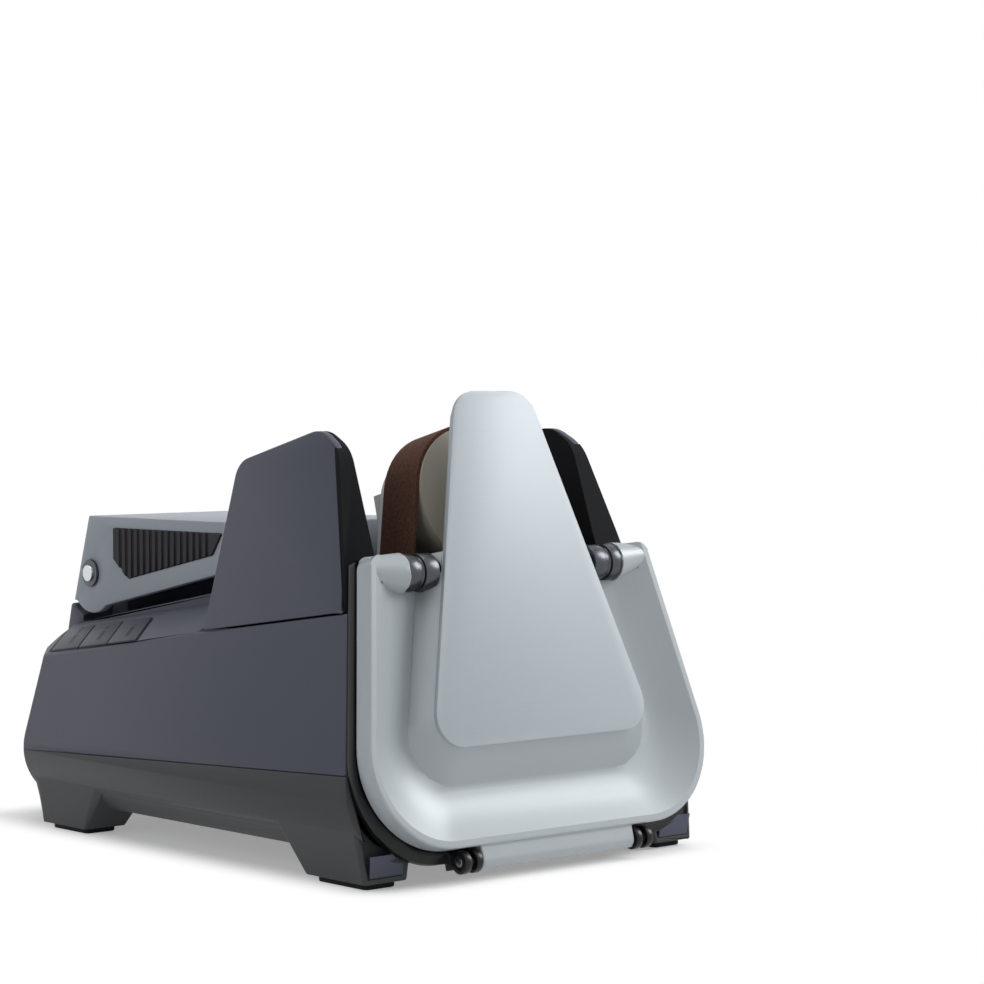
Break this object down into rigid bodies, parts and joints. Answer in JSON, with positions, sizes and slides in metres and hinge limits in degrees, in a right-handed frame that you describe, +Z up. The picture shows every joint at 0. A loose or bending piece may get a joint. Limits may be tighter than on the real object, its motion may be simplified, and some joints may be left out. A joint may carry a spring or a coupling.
{
  "type": "electric knife sharpener",
  "caption": "Belt sharpener for kitchen knives with a silver flap door, a tapered front plate, a lift-off blade guide, a fold-up rear honing arm and slanted keys.",
  "frame": {"origin": "middle of the bounding box in plan, on the table under the rubber pads", "axes": "+Y from the door at the front to the rounded tail, +X to the right seen from the front, +Z up"},
  "size_m": [0.108, 0.1768, 0.1111],
  "materials": {
    "housing_plastic": "blue-grey satin moulding",
    "tray_plastic": "dark grey satin moulding",
    "black_plastic": "black, fine grain",
    "silver_paint": "silver-grey painted moulding",
    "brushed_plate": "finely brushed",
    "arm_plastic": "mid grey satin",
    "polished_steel": "polished",
    "steel": "plain turned steel",
    "rubber_pad": "matt",
    "grip_rubber": "ribbed",
    "key_plastic": "dark satin",
    "abrasive": "abrasive grain on cloth",
    "belt_rubber": "moulded rubber",
    "pulley_plastic": "natural nylon",
    "bronze": "sintered bronze",
    "zinc_frame": "die-cast",
    "board": "fibreglass board",
    "ceramic_rod": "fine ground"
  },
  "bodies": {
    "base": {"lower_housing": "tray_plastic", "upper_housing": "housing_plastic", "front_fascia": "black_plastic", "belt_frame": "zinc_frame", "motor_bracket": "zinc_frame", "motor_can": "steel", "motor_end_cap": "black_plastic", "control_board": "board", "key_switches": "black_plastic", "power_inlet": "black_plastic", "foot_pad_front_left": "rubber_pad", "foot_pad_front_right": "rubber_pad", "foot_pad_rear_left": "rubber_pad", "foot_pad_rear_right": "rubber_pad", "housing_screws": "steel", "frame_screws": "steel", "motor_screws": "steel", "hinge_pin": "steel", "frame_bearing": "steel", "bracket_bearing": "steel", "idler_axle": "steel", "abrasive_belt": "abrasive", "toothed_belt": "belt_rubber", "door_magnets": "steel", "tension_spring": "steel"},
    "door": {"door_cover": "silver_paint", "front_plate": "brushed_plate", "edge_guide_left": "polished_steel", "edge_guide_right": "polished_steel", "door_strikes": "steel"},
    "blade_guide": {"guide_frame": "black_plastic", "guide_cover_left": "housing_plastic", "guide_cover_right": "housing_plastic"},
    "rear_arm": {"honing_arm": "arm_plastic", "arm_grip_left": "grip_rubber", "arm_grip_right": "grip_rubber", "honing_rod": "ceramic_rod", "arm_pin": "polished_steel", "pin_clips": "steel"},
    "motor_spindle": {"motor_shaft": "steel", "motor_rotor": "steel", "motor_pulley": "steel", "cooling_fan": "pulley_plastic"},
    "drive_spindle": {"drive_shaft": "steel", "drive_pulley": "pulley_plastic", "driven_wheel": "pulley_plastic"},
    "idler": {"idler_pulley": "pulley_plastic", "idler_bush": "bronze"},
    "tensioner": {"tension_slider": "pulley_plastic", "top_axle": "steel"},
    "upper_pulley": {"top_pulley": "pulley_plastic"},
    "front_key": {"key_front": "key_plastic"},
    "middle_key": {"key_middle": "key_plastic"},
    "rear_key": {"key_rear": "key_plastic"}
  },
  "joints": [
    {"name": "door_hinge", "type": "hinge", "parent": "base", "child": "door", "pos_m": [0, -0.08569, 0.00508], "axis": [1, 0, 0], "range_deg": [0, 95]},
    {"name": "guide_lift", "type": "slide", "parent": "base", "child": "blade_guide", "axis": [0, 0.2351, 0.972], "range_m": [0, 0.06]},
    {"name": "arm_hinge", "type": "hinge", "parent": "base", "child": "rear_arm", "pos_m": [0, 0.0676, 0.0638], "axis": [-1, 0, 0], "range_deg": [0, 100]},
    {"name": "motor_spin", "type": "hinge", "parent": "base", "child": "motor_spindle", "pos_m": [0, -0.03038, 0.03295], "axis": [0, 0.972, -0.2351], "continuous": true},
    {"name": "drive_spin", "type": "hinge", "parent": "base", "child": "drive_spindle", "pos_m": [0.02625, -0.06331, 0.02446], "axis": [0, 0.972, -0.2351], "continuous": true},
    {"name": "idler_spin", "type": "hinge", "parent": "base", "child": "idler", "pos_m": [-0.02625, -0.06331, 0.02446], "axis": [0, 0.972, -0.2351], "continuous": true},
    {"name": "belt_tension", "type": "slide", "parent": "base", "child": "tensioner", "axis": [0, -0.2351, -0.972], "range_m": [0, 0.005], "stiffness_N_per_m": 1500, "springref_m": -0.002, "deforming": ["tension_spring"]},
    {"name": "top_spin", "type": "hinge", "parent": "tensioner", "child": "upper_pulley", "pos_m": [0, -0.05188, 0.08445], "axis": [0, 0.972, -0.2351], "continuous": true},
    {"name": "front_key_press", "type": "slide", "parent": "base", "child": "front_key", "axis": [0.3557, -0.122, -0.9266], "range_m": [0, 0.0005], "stiffness_N_per_m": 900, "springref_m": -0.0002},
    {"name": "middle_key_press", "type": "slide", "parent": "base", "child": "middle_key", "axis": [0.3557, -0.122, -0.9266], "range_m": [0, 0.0005], "stiffness_N_per_m": 900, "springref_m": -0.0002},
    {"name": "rear_key_press", "type": "slide", "parent": "base", "child": "rear_key", "axis": [0.3557, -0.122, -0.9266], "range_m": [0, 0.0005], "stiffness_N_per_m": 900, "springref_m": -0.0002}
  ],
  "couplings": [
    {"joint": "drive_spin", "follows": "motor_spin", "ratio": 0.57143},
    {"joint": "idler_spin", "follows": "motor_spin", "ratio": 0.57143},
    {"joint": "top_spin", "follows": "motor_spin", "ratio": 0.26904}
  ]
}
